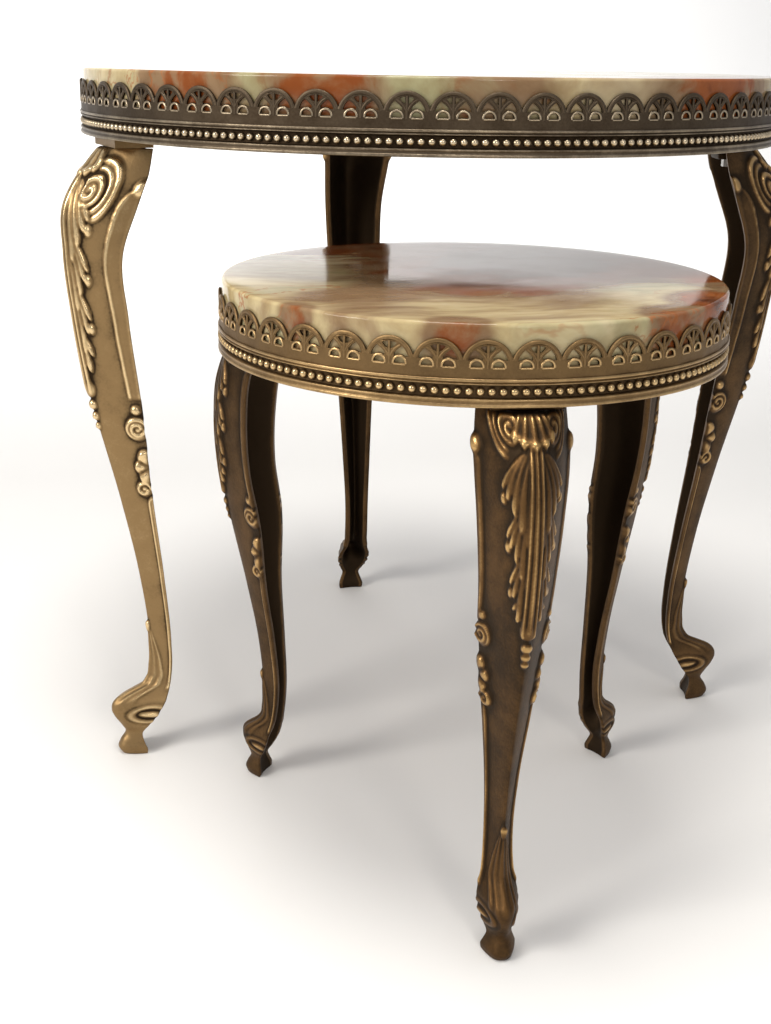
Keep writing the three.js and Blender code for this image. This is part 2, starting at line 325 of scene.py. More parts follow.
def onyx_group():
    """Colour of banded onyx: cream and green layers, rust clouds and fine rust veins; one patch input
    darkens it in places, the other pales it.
    """
    tree, given, out = group_tree(
        "banded_onyx",
        [("Vector", "vector", None), ("Darken", "float", 0.0), ("Pale", "float", 0.0)],
        [("Color", "color"), ("Height", "float")],
    )
    where = given.outputs["Vector"]
    warp = noise(tree, where, 6.0, 3.0, 0.5).outputs["Color"]
    shift = tree.nodes.new("ShaderNodeVectorMath")
    shift.operation = "MULTIPLY_ADD"
    link(tree, warp, shift.inputs[0])
    shift.inputs[1].default_value = (0.09, 0.09, 0.09)
    link(tree, where, shift.inputs[2])
    stretch = tree.nodes.new("ShaderNodeMapping")
    stretch.inputs["Scale"].default_value = (1.0, 3.4, 1.6)
    stretch.inputs["Rotation"].default_value = (0.0, 0.0, 0.55)
    link(tree, shift.outputs[0], stretch.inputs["Vector"])
    layers = noise(tree, stretch.outputs["Vector"], 5.0, 6.0, 0.55, 0.4).outputs["Fac"]
    cells = noise(tree, shift.outputs[0], 9.0, 4.0, 0.55, 0.8).outputs["Fac"]
    streaks = noise(tree, stretch.outputs["Vector"], 26.0, 5.0, 0.6, 0.3).outputs["Fac"]
    cream = (0.55, 0.45, 0.25, 1)
    green = (0.37, 0.34, 0.19, 1)
    tan = (0.235, 0.14, 0.075, 1)
    rust = (0.27, 0.073, 0.016, 1)
    umber = (0.1, 0.035, 0.018, 1)
    ivory = (0.66, 0.57, 0.37, 1)
    color = blend(tree, ramp(tree, layers, 0.42, 0.56), green, cream)
    color = blend(tree, ramp(tree, cells, 0.56, 0.66, 0.0, 0.7), color, ivory)
    brown = maths(tree, "ADD", layers, maths(tree, "MULTIPLY", given.outputs["Darken"], 0.75))
    color = blend(tree, ramp(tree, brown, 0.54, 0.72, 0.0, 0.92), color, tan)
    banks = blend(tree, 0.45, cells, streaks)
    clouds = maths(tree, "MULTIPLY", given.outputs["Darken"], 0.8)
    deep = maths(tree, "ADD", maths(tree, "MULTIPLY", banks, 1.5), clouds)
    color = blend(tree, ramp(tree, deep, 0.98, 1.16, 0.0, 0.94), color, rust)
    color = blend(tree, ramp(tree, deep, 1.2, 1.42, 0.0, 0.8), color, umber)
    color = blend(tree, maths(tree, "MULTIPLY", given.outputs["Pale"], 0.8), color, ivory)
    veined = ramp(tree, noise(tree, where, 8.0, 2.0, 0.5).outputs["Fac"], 0.5, 0.62, 0.0, 0.75)
    edge = maths(tree, "ABSOLUTE", maths(tree, "SUBTRACT", layers, 0.5))
    vein = maths(tree, "MULTIPLY", ramp(tree, edge, 0.0, 0.01, 1.0, 0.0), veined)
    color = blend(tree, vein, color, (0.36, 0.12, 0.035, 1))
    color = blend(tree, ramp(tree, streaks, 0.35, 0.65, 0.0, 0.55), color, (0.62, 0.52, 0.4, 1), "MULTIPLY")
    link(tree, color, out.inputs["Color"])
    link(tree, streaks, out.inputs["Height"])
    return tree


def onyx(name, group, table, patches):
    """Polished onyx. patches are (x, y, reach, amount, label), in millimetres from the table's middle."""
    material, tree, surface = new_material(name)
    where = object_place(tree)
    place = tree.nodes.new("ShaderNodeMapping")
    place.inputs["Location"].default_value = (-table.centre[0] * MM, -table.centre[1] * MM, 0)
    link(tree, where, place.inputs["Vector"])
    local = place.outputs["Vector"]
    totals = {"Darken": None, "Pale": None}
    # Each patch raises one input about its point: the dark patches darken the stone there, the pale ones
    # pale it.
    for x, y, reach, amount, label in patches:
        gap = tree.nodes.new("ShaderNodeVectorMath")
        gap.operation = "DISTANCE"
        link(tree, local, gap.inputs[0])
        gap.inputs[1].default_value = (x * MM, y * MM, (table.top - 6) * MM)
        mask = ramp(tree, gap.outputs["Value"], reach * MM, reach * MM * 0.25, 0.0, 1.0)
        mask = maths(tree, "MULTIPLY", mask, amount)
        totals[label] = mask if totals[label] is None else maths(tree, "ADD", totals[label], mask)
    stone = tree.nodes.new("ShaderNodeGroup")
    stone.node_tree = group
    link(tree, local, stone.inputs["Vector"])
    for label, total in totals.items():
        if total is not None:
            link(tree, total, stone.inputs[label])
    link(tree, stone.outputs["Color"], surface.inputs["Base Color"])
    smears = noise(tree, local, 22.0, 3.0, 0.5).outputs["Fac"]
    link(tree, ramp(tree, smears, 0.3, 0.7, 0.05, 0.13), surface.inputs["Roughness"])
    surface.inputs["Coat Weight"].default_value = 0.04
    surface.inputs["Coat Roughness"].default_value = 0.03
    surface.inputs["Subsurface Weight"].default_value = 0.06
    surface.inputs["Subsurface Radius"].default_value = (0.012, 0.008, 0.004)
    surface.inputs["IOR"].default_value = 1.5
    surface.inputs["Specular IOR Level"].default_value = 0.16
    roughen(tree, surface, stone.outputs["Height"], 0.04, 0.0004)
    return material


def plywood():
    """Raw plywood: long grain on its face and fine pores."""
    material, tree, surface = new_material("plywood")
    where = object_place(tree)
    stretch = tree.nodes.new("ShaderNodeMapping")
    stretch.inputs["Scale"].default_value = (1.0, 14.0, 30.0)
    link(tree, where, stretch.inputs["Vector"])
    grain = noise(tree, stretch.outputs["Vector"], 9.0, 6.0, 0.65, 0.6).outputs["Fac"]
    pores = noise(tree, stretch.outputs["Vector"], 90.0, 3.0, 0.6).outputs["Fac"]
    color = blend(tree, ramp(tree, grain, 0.35, 0.65), (0.2, 0.12, 0.065, 1), (0.36, 0.24, 0.14, 1))
    color = blend(tree, ramp(tree, pores, 0.55, 0.7, 0.0, 0.5), color, (0.12, 0.07, 0.035, 1))
    link(tree, color, surface.inputs["Base Color"])
    link(tree, ramp(tree, pores, 0.3, 0.7, 0.62, 0.85), surface.inputs["Roughness"])
    roughen(tree, surface, grain, 0.5, 0.0003)
    return material


# ---- Stone slab ----


def arc(centre, radius, start, end, count):
    """Points on a circle between two angles in degrees."""
    turns = np.radians(np.linspace(start, end, count))
    return [(centre[0] + radius * math.cos(t), centre[1] + radius * math.sin(t)) for t in turns]


def stone_slab(table, material):
    """The slab, with an eased lower edge and a polished, rounded upper one."""
    edge, low, high = table.stone, table.stone_base, table.top
    outline = [(edge - 1.0, low), (edge, low + 1.0)]
    outline += arc((edge - 2.2, high - 2.2), 2.2, 0, 90, 9)
    inner = [(edge - 12, high), (edge * 0.5, high), (edge * 0.5, low)]
    outline = np.array(inner[2:] + outline + inner[:2])
    segments = 240
    angles = np.linspace(0, 2 * np.pi, segments, endpoint=False)
    circle = np.stack([np.cos(angles), np.sin(angles)], axis=-1)
    points = [
        (table.centre[0] + radius * x, table.centre[1] + radius * y, height)
        for radius, height in outline
        for x, y in circle
    ]
    return mesh_object(table.node("onyx_slab"), points, capped_faces(len(outline), segments), material)


# ---- Rim and beads ----


def rim_hoop(table, material):
    """The rim: an inner flange, a plain lower band, the bead channel and a reeded moulding."""
    edge, base = table.radius, table.base
    back = edge - RIM_PROUD
    outline = [
        (edge - 28, 0),
        (edge - 0.3, 0),
        (edge, 0.4),
        (edge, 1.5),
        (edge - 0.5, 2.0),
        (edge - 0.5, 3.2),
        (edge - 0.1, 3.7),
        (edge - 0.1, 4.5),
        (edge - 2.4, 5.2),
        (edge - 2.6, 8.4),
        (edge - 2.4, 11.6),
        (edge - 0.1, 12.3),
        (edge - 0.1, 12.8),
        (edge - 0.8, 13.2),
        (edge - 0.8, 13.5),
        (edge, 13.9),
        (edge, 14.9),
        (edge - 0.4, 15.4),
        (back, 15.4),
        (back, 19.7),
        (edge - 4.4, 19.7),
        (edge - 4.4, 2),
        (edge - 28, 2),
    ]
    profile = rounded(outline, 0.35, 3)

    proud = np.clip(profile[:, 0] - (edge - 1.0), -1.2, 1)
    # The proud faces of the rim get the bright end of the brass, partly rubbed metal and partly a painted
    # highlight.
    relief = np.where(profile[:, 0] > edge - 4, np.where(proud < 0, proud * 0.3, proud * 0.6), -0.5)
    profile[:, 1] += base
    segments = 288 if table.name == "large" else 216
    return ring_mesh(table.node("rim_hoop"), table, profile, material, segments, relief)


def instance_ring(name, motif, count, material):
    """A node tree that repeats one motif round the table's axis, run once and kept as a plain mesh."""
    tree = bpy.data.node_groups.new(f"{name}_ring", "GeometryNodeTree")
    sockets = {}
    for label, kind in (
        ("Geometry", "NodeSocketGeometry"),
        ("Motif", "NodeSocketObject"),
        ("Count", "NodeSocketInt"),
        ("Pitch", "NodeSocketFloat"),
        ("Metal", "NodeSocketMaterial"),
    ):
        sockets[label] = tree.interface.new_socket(label, in_out="INPUT", socket_type=kind).identifier
    tree.interface.new_socket("Geometry", in_out="OUTPUT", socket_type="NodeSocketGeometry")
    given = tree.nodes.new("NodeGroupInput")
    out = tree.nodes.new("NodeGroupOutput")
    line = tree.nodes.new("GeometryNodeMeshLine")
    line.inputs["Offset"].default_value = (0, 0, 0)
    info = tree.nodes.new("GeometryNodeObjectInfo")
    index = tree.nodes.new("GeometryNodeInputIndex")
    turn = tree.nodes.new("ShaderNodeMath")
    turn.operation = "MULTIPLY"
    angle = tree.nodes.new("ShaderNodeCombineXYZ")
    rotation = tree.nodes.new("FunctionNodeEulerToRotation")
    place = tree.nodes.new("GeometryNodeInstanceOnPoints")
    real = tree.nodes.new("GeometryNodeRealizeInstances")
    paint = tree.nodes.new("GeometryNodeSetMaterial")
    link(tree, given.outputs["Count"], line.inputs["Count"])
    link(tree, given.outputs["Motif"], info.inputs["Object"])
    link(tree, index.outputs["Index"], turn.inputs[0])
    link(tree, given.outputs["Pitch"], turn.inputs[1])
    link(tree, turn.outputs[0], angle.inputs["Z"])
    link(tree, angle.outputs["Vector"], rotation.inputs["Euler"])
    link(tree, line.outputs["Mesh"], place.inputs["Points"])
    link(tree, info.outputs["Geometry"], place.inputs["Instance"])
    link(tree, rotation.outputs["Rotation"], place.inputs["Rotation"])
    link(tree, place.outputs["Instances"], real.inputs["Geometry"])
    link(tree, real.outputs["Geometry"], paint.inputs["Geometry"])
    link(tree, given.outputs["Metal"], paint.inputs["Material"])
    link(tree, paint.outputs["Geometry"], out.inputs["Geometry"])

    carrier = bpy.data.objects.new(name, bpy.data.meshes.new(name))
    bpy.context.scene.collection.objects.link(carrier)
    modifier = carrier.modifiers.new("ring", "NODES")
    modifier.node_group = tree
    modifier[sockets["Motif"]] = motif
    modifier[sockets["Count"]] = count
    modifier[sockets["Pitch"]] = 2 * math.pi / count
    modifier[sockets["Metal"]] = material
    bpy.context.view_layer.update()
    evaluated = carrier.evaluated_get(bpy.context.evaluated_depsgraph_get())
    mesh = bpy.data.meshes.new_from_object(evaluated)
    carrier.modifiers.remove(modifier)
    carrier.data = mesh
    bpy.data.objects.remove(motif)
    return carrier


def move_to(thing, table, height=0.0):
    """Moves a mesh made about the origin to the table's axis, leaving its object at the origin."""
    thing.data.transform(Matrix.Translation((*(table.centre * MM), height * MM)))


def bead_row(table, material):
    """A row of round beads in the rim's channel."""
    sheet = bmesh.new()
    bmesh.ops.create_uvsphere(sheet, u_segments=12, v_segments=8, radius=BEAD_RADIUS * MM)
    quarter = Matrix.Rotation(math.pi / 2, 3, "Y")
    bmesh.ops.rotate(sheet, verts=sheet.verts, cent=(0, 0, 0), matrix=quarter)
    seat = table.radius - BEAD_SEAT
    bmesh.ops.translate(sheet, verts=sheet.verts, vec=(seat * MM, 0, 0))
    mesh = bpy.data.meshes.new("bead")
    sheet.to_mesh(mesh)
    sheet.free()
    mesh.shade_smooth()
    # Each bead's outer face gets the bright end of the brass, partly rubbed metal and partly a painted
    # highlight.
    layer = mesh.attributes.new("relief", "FLOAT", "POINT")
    out = np.array([v.co.x for v in mesh.vertices]) / MM - seat
    layer.data.foreach_set("value", np.clip(out / 2.4, -0.8, 1.0).astype(np.float32))
    motif = bpy.data.objects.new("bead", mesh)
    bpy.context.scene.collection.objects.link(motif)
    row = instance_ring(table.node("bead_row"), motif, BEADS[table.name], material)
    move_to(row, table, table.base + BEAD_HEIGHT)
    return row


# ---- Gallery ----


def flat_curve(outlines, thickness, bevel):
    """Filled outlines with holes, given a thickness and a rounded edge, as points and faces."""
    curve = bpy.data.curves.new("outline", "CURVE")
    curve.dimensions = "2D"
    curve.fill_mode = "BOTH"
    curve.extrude = thickness / 2 - bevel
    curve.bevel_depth = bevel
    curve.bevel_resolution = 1
    curve.offset = -bevel
    for outline in outlines:
        spline = curve.splines.new("POLY")
        spline.points.add(len(outline) - 1)
        for point, (x, y) in zip(spline.points, outline):
            point.co = (x, y, 0, 1)
        spline.use_cyclic_u = True
    return curve_arrays(curve)


def tube(path, radius, flatten, lift):
    """A round ridge along a flat path, as points and faces."""
    curve = bpy.data.curves.new("ridge", "CURVE")
    curve.dimensions = "3D"
    curve.bevel_depth = radius
    curve.bevel_resolution = 1
    curve.use_fill_caps = True
    spline = curve.splines.new("POLY")
    spline.points.add(len(path) - 1)
    for point, (x, y) in zip(spline.points, path):
        point.co = (x, y, 0, 1)
    points, faces = curve_arrays(curve)
    points[:, 2] = points[:, 2] * flatten + lift
    return points, faces


def curve_arrays(curve):
    """A curve's finished points and faces; the curve itself is removed."""
    holder = bpy.data.objects.new("curve", curve)
    mesh = bpy.data.meshes.new_from_object(holder)
    points = np.array([v.co[:] for v in mesh.vertices])
    faces = [tuple(p.vertices) for p in mesh.polygons]
    bpy.data.objects.remove(holder)
    bpy.data.curves.remove(curve)
    bpy.data.meshes.remove(mesh)
    return points, faces


def gallery_motif(table):
    """One pierced lunette, flat: an arch over a palmette and two small round-headed openings.

    x runs along the strip from the motif's middle, y up from the foot of its openings.
    """
    half = math.pi * (table.radius - GALLERY_INSET) / ARCHES[table.name]
    end = half + 0.27  # neighbours overlap a little
    centre_y, meet_y, foot_y = 0.8, 4.8, -6.9  # arch's centre, where two arches meet, and the strip's foot
    mouth_x, mouth_y = 5.7, 0.2
    outer = math.hypot(half, meet_y - centre_y)
    start = math.degrees(math.asin((meet_y - centre_y) / outer))
    foot = [(end * (i / 6 - 1), foot_y) for i in range(13)]
    crown = arc((0, centre_y), outer, start, 180 - start, 25)
    outside = foot + [(end, crown[0][1] - 0.3), *crown[1:-1], (-end, crown[0][1] - 0.3)]
    holes = []
    for side in (-1, 1):
        mouth = arc((side * mouth_x, mouth_y), 2.9, 0, 180, 11)
        upper = [(side * x, y) for x, y in arc((0, centre_y), 10.7, 14, 50, 6)]
        upper += [(side * 4.3, 6.9), (side * 2.6, 5.2)]
        upper += [(side * x, y) for x, y in arc((mouth_x, mouth_y), 4.5, 132, 52, 6)]
        slit = [(side * x, y) for x, y in ((0.75, 7.4), (0.75, 11.2), (2.9, 10.9), (4.0, 10.3), (2.4, 8.2))]
        holes += [mouth, upper, slit]
    points, faces = flat_curve([outside, *holes], GALLERY_THICK, 0.25)
    relief = np.full(len(points), 0.05)
    relief[points[:, 2] < 0.3] = -0.8
    parts = [(points, faces, relief)]

    def ridge(path, radius, value, flatten=0.75):
        """Adds a raised line; value is its relief at the top."""
        ridge_points, ridge_faces = tube(path, radius, flatten, 0.5)
        parts.append((ridge_points, ridge_faces, value * np.clip(ridge_points[:, 2] / 0.9, -0.5, 1)))

    # Each ridge's value sets how bright its top shows in the brass, partly rubbed metal and partly a painted
    # highlight.
    ridge(arc((0, centre_y), outer - 1.25, start - 4, 184 - start, 23), 1.15, 0.25, 0.4)
    ridge(arc((0, centre_y), outer - 0.5, start - 4, 184 - start, 23), 0.4, 0.45)
    for side in (-1, 1):
        ridge(arc((side * mouth_x, mouth_y), 3.6, -8, 188, 11), 0.75, 0.75, 0.8)
        ridge([(side * 2.6, -0.6), (side * 8.9, -0.6)], 0.5, 0.8, 0.8)
        ridge([(side * 0.5, 3.6), (side * 1.7, 5.9), (side * 3.5, 8.0), (side * 5.9, 9.6)], 0.65, 0.3)
    ridge([(0, -0.8), (0, 3.0), (0, 7.0), (0, 11.6)], 0.95, 0.3, 0.55)
    return parts, half


def gallery_strip(table, material):
    """The pierced strip round the slab's edge."""
    parts, half = gallery_motif(table)
    points, faces, relief = [], [], []
    for part_points, part_faces, part_relief in parts:
        offset = sum(len(p) for p in points)
        points.append(part_points)
        relief.append(part_relief)
        faces += [tuple(i + offset for i in face) for face in part_faces]
    points, relief = np.vstack(points), np.concatenate(relief)
    radius = table.radius - GALLERY_INSET - GALLERY_THICK / 2 + points[:, 2]
    angle = points[:, 0] / half * math.pi / ARCHES[table.name]
    bent = np.stack([radius * np.cos(angle), radius * np.sin(angle), points[:, 1]], axis=-1)
    motif = mesh_object("lunette", bent, faces, material, relief)
    strip = instance_ring(table.node("gallery_strip"), motif, ARCHES[table.name], material)
    move_to(strip, table, table.top - GALLERY_DROP)
    return strip


# ---- Legs ----

# Stations of a leg from the floor up: height, front edge's radius, back edges' radius, half width, how far
# the back is hollowed, and how blunt the front edge is.
LEG_SHAPE = {
    "large": [
        (0, 250, 233, 11.3, 0.08, 2.6),
        (4, 252.3, 233, 12, 0.08, 2.6),
        (10, 250.5, 235, 10.2, 0.08, 2.4),
        (16.5, 246.5, 235.5, 8.3, 0.1, 2.2),
        (23, 249.5, 231.5, 11.2, 0.2, 2.2),
        (31, 254.5, 225.5, 14.2, 0.35, 2.2),
        (37, 256.5, 222, 15, 0.5, 2.1),
        (42.5, 254.8, 218.5, 14.8, 0.7, 2.1),
        (46.5, 249.5, 216.5, 13.4, 0.8, 1.9),
        (49.5, 242, 215, 12.2, 0.9, 1.8),
        (52.5, 234, 213.8, 11.2, 0.95, 1.7),
        (58, 228.5, 212.3, 10.2, 1, 1.6),
        (70, 225.5, 210.8, 10, 1, 1.5),
        (90, 225, 210.8, 10.1, 1, 1.5),
        (143, 230.5, 215, 12.3, 1, 1.4),
        (203, 242, 222, 15.5, 1, 1.4),
        (280, 259.5, 229.5, 20, 1, 1.45),
        (340, 268, 237, 24, 1, 1.5),
        (385, 271.5, 239.5, 26, 1, 1.6),
        (416, 269.5, 229, 28.5, 1, 1.8),
        (436, 257.5, 221.5, 30, 1, 1.9),
        (452.7, 243, 217.5, 29, 1, 2.0),
    ],
    "small": [
        (0, 161.5, 147.5, 10.3, 0.08, 2.6),
        (3.5, 163, 147.5, 10.8, 0.08, 2.6),
        (8, 161.5, 148.7, 9.4, 0.08, 2.4),
        (13, 159, 149.3, 7.8, 0.1, 2.2),
        (18.5, 161, 146, 9.8, 0.2, 2.2),
        (25, 164.3, 142.8, 12.2, 0.35, 2.2),
        (31, 165.5, 140.7, 12.9, 0.5, 2.1),
        (36, 164, 139.4, 12.4, 0.7, 2.1),
        (40, 159.5, 137.8, 11.2, 0.8, 1.9),
        (43.5, 154.5, 136.8, 9.8, 0.9, 1.8),
        (48, 150.5, 135.8, 8.8, 0.95, 1.7),
        (55, 149, 134.7, 8.2, 1, 1.6),
        (70, 148.6, 133.5, 7.8, 1, 1.5),
        (110, 152.5, 135.5, 9.4, 1, 1.4),
        (150, 161, 139.5, 13.2, 1, 1.4),
        (205, 174.5, 142, 19, 1, 1.45),
        (240, 180.5, 148, 21, 1, 1.5),
        (276, 182, 148.5, 23.5, 1, 1.6),
        (305, 178, 145, 25.5, 1, 1.8),
        (322, 170.5, 140, 26, 1, 1.9),
        (337, 157.5, 136, 25, 1, 2.0),
    ],
}
LEAF_TIERS = ((1.02, 5), (0.84, 5), (0.66, 4), (0.5, 3))  # share of the reach, and flutes, from the top tier
# A leg's ornaments. shell, leaf, border, lower (border) and ankle (leaf) are heights of their top and foot.
# ear, cartouche, spur and drops are the heights that each is placed by. volute is (side, height, size) and
# scroll (height, distance from the edge). pitch and reach belong to the leaf, wide to the border.
LEG_PLAN = {
    "large": {
        "shell": (453, 434), "volute": (16, 425, 1.05), "ear": 427,
        "leaf": (436, 286), "pitch": 33.5, "reach": 20, "drops": (277, 268.5, 261),
        "border": (420, 281), "wide": 13.0, "cartouche": 238, "lower": (206, 50),
        "spur": 103, "ankle": (100, 46), "scroll": (33, 6.0), "size": 1.12,
    },
    "small": {
        "shell": (337, 321), "volute": (12.5, 330, 0.9), "ear": 317.5,
        "leaf": (323, 219), "pitch": 26, "reach": 21, "drops": (211.5, 205.5, 200.5),
        "border": (312, 214), "wide": 5.0, "cartouche": 188, "lower": (164, 38),
        "spur": 82, "ankle": (80, 36), "scroll": (25.5, 5.0), "size": 1.0,
    },
}


def smooth_path(stations, count):
    """Smooth cubic values through the stations, evenly spaced in height."""
    stations = np.array(stations, dtype=float)
    heights = stations[:, 0]
    slopes = np.gradient(stations[:, 1:], heights, axis=0)
    wanted = np.linspace(heights[0], heights[-1], count)
    index = np.clip(np.searchsorted(heights, wanted, side="right") - 1, 0, len(heights) - 2)
    span = heights[index + 1] - heights[index]
    t = ((wanted - heights[index]) / span)[:, None]
    span = span[:, None]
    a, b = stations[index, 1:], stations[index + 1, 1:]
    m, n = slopes[index] * span, slopes[index + 1] * span
    values = (2 * t**3 - 3 * t**2 + 1) * a + (t**3 - 2 * t**2 + t) * m
    values += (-2 * t**3 + 3 * t**2) * b + (t**3 - t**2) * n
    return wanted, values


def step(value, low, high):
    """0 below low, 1 above high and smooth between; low may be the larger."""
    t = np.clip((value - low) / (high - low), 0, 1)
    return t * t * (3 - 2 * t)


def bump(distance, width):
    """A round-topped ridge, 1 at distance 0 and 0 from width on."""
    return np.sqrt(np.clip(1 - (distance / width) ** 2, 0, 1))


def acanthus(z, side, plan):
    """Height of the leaf down the front edge: overlapping tiers of flutes on a ribbed stem."""
    top, foot = plan["leaf"]
    size = plan["size"]
    spacing = plan["pitch"]
    height = np.zeros_like(z)
    for tier in reversed(range(len(LEAF_TIERS))):
        share_of_reach, count = LEAF_TIERS[tier]
        start = top - tier * spacing
        length = min(2.1 * spacing, start - foot + 2)
        share = np.clip((start - z) / length, 0, 1.2)
        reach = plan["reach"] * share_of_reach
        bow = 2.2 * size + reach * (1 - (1 - np.minimum(share / 0.62, 1)) ** 2.2)
        across = side / bow * count
        number = np.clip(np.floor(across), 0, count - 1)
        local = 2 * (across - number) - 1
        flute = np.sqrt(np.clip(1 - local**2, 0, 1))
        tip = 0.46 + 0.54 * (1 - number / (count - 1)) ** 1.25 - 0.09 * local**2
        mask = step(share, tip, tip - 0.05) * (across < count) * step(share, 0.0, 0.08)
        lift = np.clip(share / tip, 0, 1) ** 1.6
        lobe = 0.2 + 1.1 * lift + 1.3 * flute
        height = height * (1 - mask) + lobe * size * mask
        if tier < len(LEAF_TIERS) - 1:
            hook = np.hypot((z - start + 0.52 * length) * 0.65, side - 0.92 * reach)
            height = np.maximum(height, 2.2 * size * bump(hook, 2.5 * size))
    taper = step(z, foot - 3, foot + 4) * step(z, top + 1, top - 4)
    ribs = 1.5 + 1.4 * (0.5 + 0.5 * np.cos(2 * np.pi * side / (2.3 * size)))
    middle = step(side, 3.6 * size, 3.1 * size) * taper
    height = height * (1 - middle) + ribs * size * middle
    cup = np.hypot((z - foot - 3) * 0.8, side)
    return np.maximum(height, 2.3 * size * bump(cup, 5.2 * size))


def shell(z, side, plan):
    """Height of the scalloped shell between two volutes at the top of the knee."""
    top, foot = plan["shell"]
    size = plan["size"]
    spread = (7.5 + 7.0 * np.clip((top - z) / (top - foot), 0, 1.2)) * size
    across = side / spread
    flutes = 0.5 + 0.5 * np.cos(2 * np.pi * across * 2.5)
    lip = foot + 5.5 * size * across**2 - 1.5 * flutes
    fan = step(across, 1.06, 0.98) * step(z, lip, lip + 1.2)
    height = fan * (1.3 + 1.1 * flutes + 1.3 * step(z, lip + 6, lip + 1.5)) * size
    eye_side, eye_z, coil_size = plan["volute"]
    size = size * coil_size
    dx, dz = side - eye_side, z - eye_z
    radius = np.hypot(dx, dz * 0.85)
    turn = np.arctan2(dz, -dx)
    coil = radius / size - 4.6 * turn / (2 * np.pi)
    groove = 0.5 + 0.5 * np.cos(2 * np.pi * coil / 4.6)
    volute = step(radius, 8.2 * size, 7.2 * size) * (1.2 + 1.7 * groove) * size
    height = np.where(side > eye_side - 4 * size, np.maximum(height, volute), height)
    outward = np.arctan2(dz, dx)
    sweep = step(outward, -1.5, -1.1) * step(outward, 1.9, 1.5)
    for strand in range(2):
        ridge = bump(radius - (10.6 + 3.6 * strand) * size, 1.7 * size) * sweep
        height = np.maximum(height, 1.8 * size * ridge)
    return height


def borders(z, edge, plan):
    """Height of the flat border along a back edge, with its ear, end beads and side cartouche."""
    size = plan["size"]
    height = np.zeros_like(z)
    for top, foot, wide in ((*plan["border"], plan["wide"]), (*plan["lower"], 3.8)):
        share = np.clip((z - foot) / (top - foot), 0, 1)
        width = wide * (0.6 + 0.4 * share) * size
        width = width * np.sqrt(np.clip(1 - (np.clip(z - top + wide, 0, None) / (1.6 * wide)) ** 2, 0, 1))
        along = step(z, foot, foot + 3) * step(z, top + wide, top + wide - 2)
        band = step(edge, width, width - 0.7) * 0.75
        lines = bump(edge - width + 0.9, 0.95) * 0.9 + bump(edge - 0.8, 0.9) * 0.6
        groove = -0.5 * bump(edge - width - 0.7, 0.7)
        height += along * (band + lines + groove)
    ear = np.hypot(z - plan["ear"], (edge - 1.2) * 1.1)
    height = np.maximum(height, 2.8 * size * bump(ear, 5.6 * size))
    middle = plan["cartouche"]
    top_bead = np.hypot(z - (middle + 32 * size), edge - 4.2 * size)
    height = np.maximum(height, 2.3 * size * bump(top_bead * 0.9, 3.0 * size))
    for offset, reach, turns in ((20, 8.0, 1), (-21, 6.0, -1)):
        dz, de = z - (middle + offset * size), edge - 4.6 * size
        radius = np.hypot(dz, de)
        coil = radius / size + turns * 1.3 * np.arctan2(dz, de) / (2 * np.pi) * 1.8
        groove = 0.5 + 0.5 * np.cos(2 * np.pi * coil / 3.6)
        scroll = step(radius, reach * size, (reach - 1.4) * size) * (1.2 + 1.9 * groove) * size
        height = np.maximum(height, scroll)
    dz, de = z - (middle - 6 * size), edge + 1.0
    radius, turn = np.hypot(dz * 0.78, de), np.arctan2(dz, de)
    lobes = np.abs(np.cos(turn * 3.0))
    fan = step(radius, (9.2 + 1.4 * lobes) * size, (7.8 + 1.4 * lobes) * size)
    return np.maximum(height, fan * (1.2 + 1.8 * lobes * step(radius, 1.0, 6.0)) * size)


def ankle(z, side, edge, plan):
    """Height of the pointed leaf over the ankle, its spur and the scroll on each side of the foot."""
    size = plan["size"]
    top, foot = plan["ankle"]
    share = np.clip((top - z) / (top - foot), 0, 1)
    width = (1.5 + 13.5 * share**0.8) * size
    inside = step(side, width, width - 1.5) * step(z, top + 1, top - 5) * step(z, foot - 7, foot + 2)
    flutes = 0.5 + 0.5 * np.cos(2 * np.pi * side / np.maximum(width, 1) * 2.5)
    height = inside * (0.4 + 0.6 * flutes)
    drop = z - plan["spur"]
    spur = np.hypot(drop / np.where(drop > 0, 1.1, 3.6), side)
    height = np.maximum(height, 2.0 * size * bump(spur, 1.9 * size))
    scroll_z, scroll_edge = plan["scroll"]
    dz, de = z - scroll_z, edge - scroll_edge
    tilt = 0.12
    long_way = de * math.cos(tilt) + dz * math.sin(tilt)
    short_way = dz * math.cos(tilt) - de * math.sin(tilt)
    oval = np.hypot(long_way / (11.5 * size), short_way / (4.6 * size))
    slot = -0.9 * step(oval, 1.0, 0.8) + 1.9 * bump(np.hypot(long_way / 4.2, short_way), 2.2 * size)
    rim = 0.7 * bump(oval - 1.2, 0.2) - 0.35 * bump(oval - 1.55, 0.14)
    return height + slot + rim


def soften(field, reach):
    """A field blurred along its rows and columns by a moving average."""
    for axis in (0, 1):
        kernel = np.ones(2 * reach + 1) / (2 * reach + 1)
        field = np.apply_along_axis(
            lambda line: np.convolve(np.pad(line, reach, mode="edge"), kernel, "valid"), axis, field
        )
    return field


def leg_relief(z, side, edge, plan):
    """Height of all the ornament on a leg: z up it, side from its front edge, edge from its back edges."""
    size = plan["size"]
    leaf = np.maximum(acanthus(z, side, plan), shell(z, side, plan))
    leaf *= step(z, plan["shell"][0] + 1.0, plan["shell"][0] - 3)
    trim = borders(z, edge, plan)
    relief = np.where(trim < 0, np.where(leaf > 0.05, leaf, trim), np.maximum(leaf, trim))
    for number, drop in enumerate(plan["drops"]):
        away = np.hypot(z - drop, side)
        relief = np.maximum(relief, (2.6 - 0.3 * number) * size * bump(away, (3.4 - 0.5 * number) * size))
    foot = ankle(z, side, edge, plan)
    foot = np.where(foot < 0, foot, np.maximum(foot, relief * step(edge, 6, 4)))
    return soften(np.where(z < plan["spur"] + 6, foot, relief), 1)


